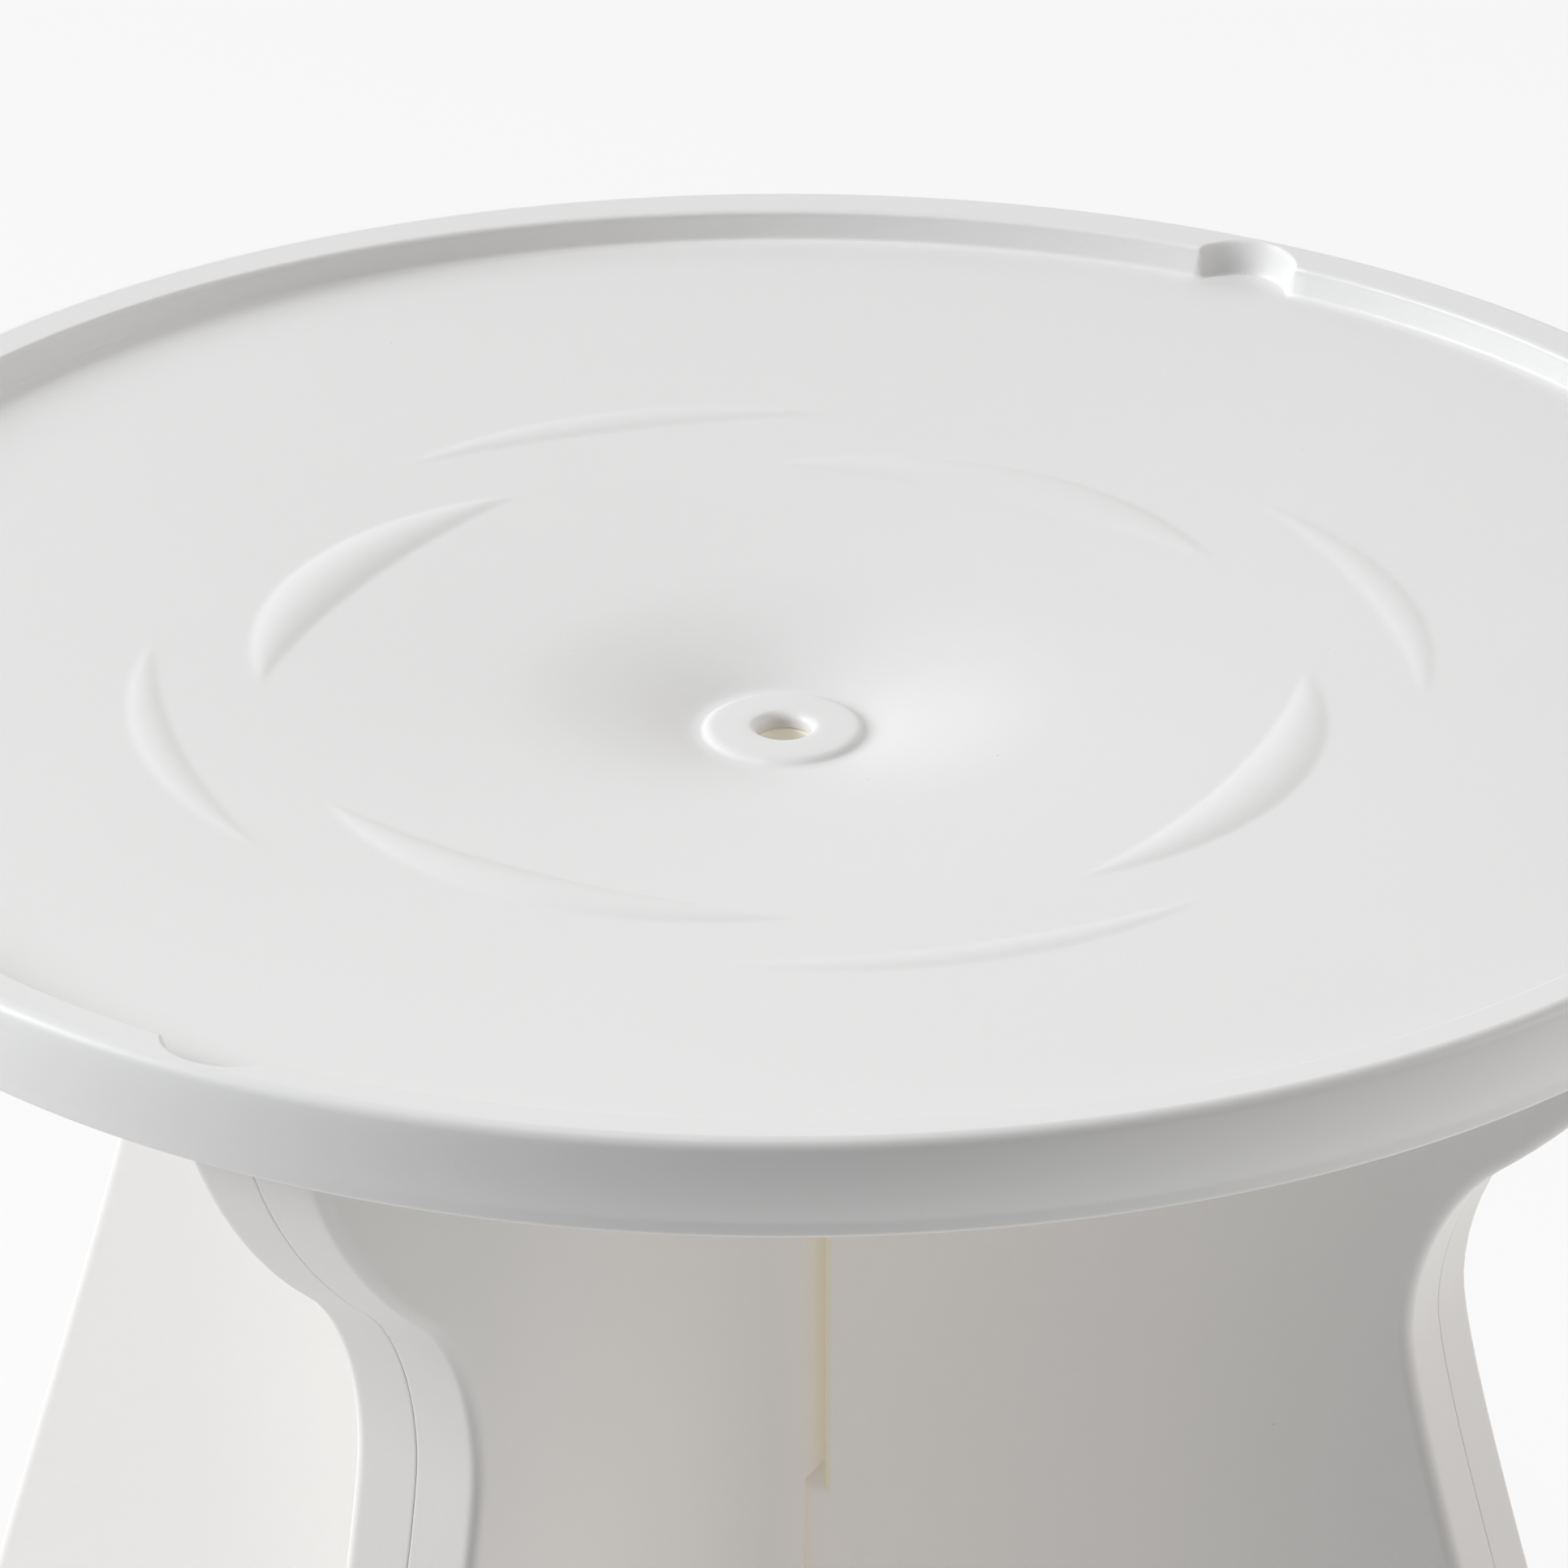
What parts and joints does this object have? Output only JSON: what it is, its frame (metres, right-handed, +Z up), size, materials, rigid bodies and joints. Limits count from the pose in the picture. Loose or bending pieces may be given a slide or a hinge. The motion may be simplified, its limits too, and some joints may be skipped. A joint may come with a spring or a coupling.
{
  "type": "lazy susan turntable",
  "caption": "Raised round turntable: a rimmed, dished platter with low ridges spins on a ball bearing above a base of crossed hourglass panels.",
  "frame": {"origin": "on the spin axis, on the surface that the foot pads rest on", "axes": "+Z up along the spin axis; at rest the long panel runs from the front left to the back right, 61.5 degrees from +X"},
  "size_m": [0.4, 0.4, 0.32],
  "materials": {
    "platter_plastic": "satin moulded white",
    "panel_plastic": "satin moulded white",
    "hub_plastic": "matte moulded white",
    "race_steel": "zinc plated",
    "ball_steel": "polished",
    "cage_nylon": "natural nylon",
    "spindle_acetal": "natural acetal",
    "washer_brass": "turned",
    "screw_steel": "zinc plated",
    "pad_rubber": "matte"
  },
  "bodies": {
    "base": {"long_panel_left_shell": "panel_plastic", "long_panel_right_shell": "panel_plastic", "cross_panel_left_shell": "panel_plastic", "cross_panel_right_shell": "panel_plastic", "foot_pad_1": "pad_rubber", "foot_pad_2": "pad_rubber", "foot_pad_3": "pad_rubber", "foot_pad_4": "pad_rubber", "hub_plate": "hub_plastic", "hub_screw_1": "screw_steel", "hub_screw_2": "screw_steel", "hub_screw_3": "screw_steel", "hub_screw_4": "screw_steel", "lower_race": "race_steel", "lower_race_screw_1": "screw_steel", "lower_race_screw_2": "screw_steel", "lower_race_screw_3": "screw_steel", "lower_race_screw_4": "screw_steel"},
    "ball_train": {"ball_cage": "cage_nylon", "bearing_ball_01": "ball_steel", "bearing_ball_02": "ball_steel", "bearing_ball_03": "ball_steel", "bearing_ball_04": "ball_steel", "bearing_ball_05": "ball_steel", "bearing_ball_06": "ball_steel", "bearing_ball_07": "ball_steel", "bearing_ball_08": "ball_steel", "bearing_ball_09": "ball_steel", "bearing_ball_10": "ball_steel", "bearing_ball_11": "ball_steel", "bearing_ball_12": "ball_steel"},
    "turning_platter": {"platter": "platter_plastic", "upper_race": "race_steel", "upper_race_screw_1": "screw_steel", "upper_race_screw_2": "screw_steel", "upper_race_screw_3": "screw_steel", "upper_race_screw_4": "screw_steel", "spindle": "spindle_acetal", "thrust_washer": "washer_brass", "spindle_clip": "screw_steel"}
  },
  "joints": [
    {"name": "platter_spin", "type": "hinge", "parent": "base", "child": "turning_platter", "pos_m": [0, 0, 0.294], "axis": [0, 0, 1], "continuous": true},
    {"name": "cage_spin", "type": "hinge", "parent": "base", "child": "ball_train", "pos_m": [0, 0, 0.294], "axis": [0, 0, 1], "continuous": true}
  ],
  "couplings": [
    {"joint": "cage_spin", "follows": "platter_spin", "ratio": 0.5}
  ]
}
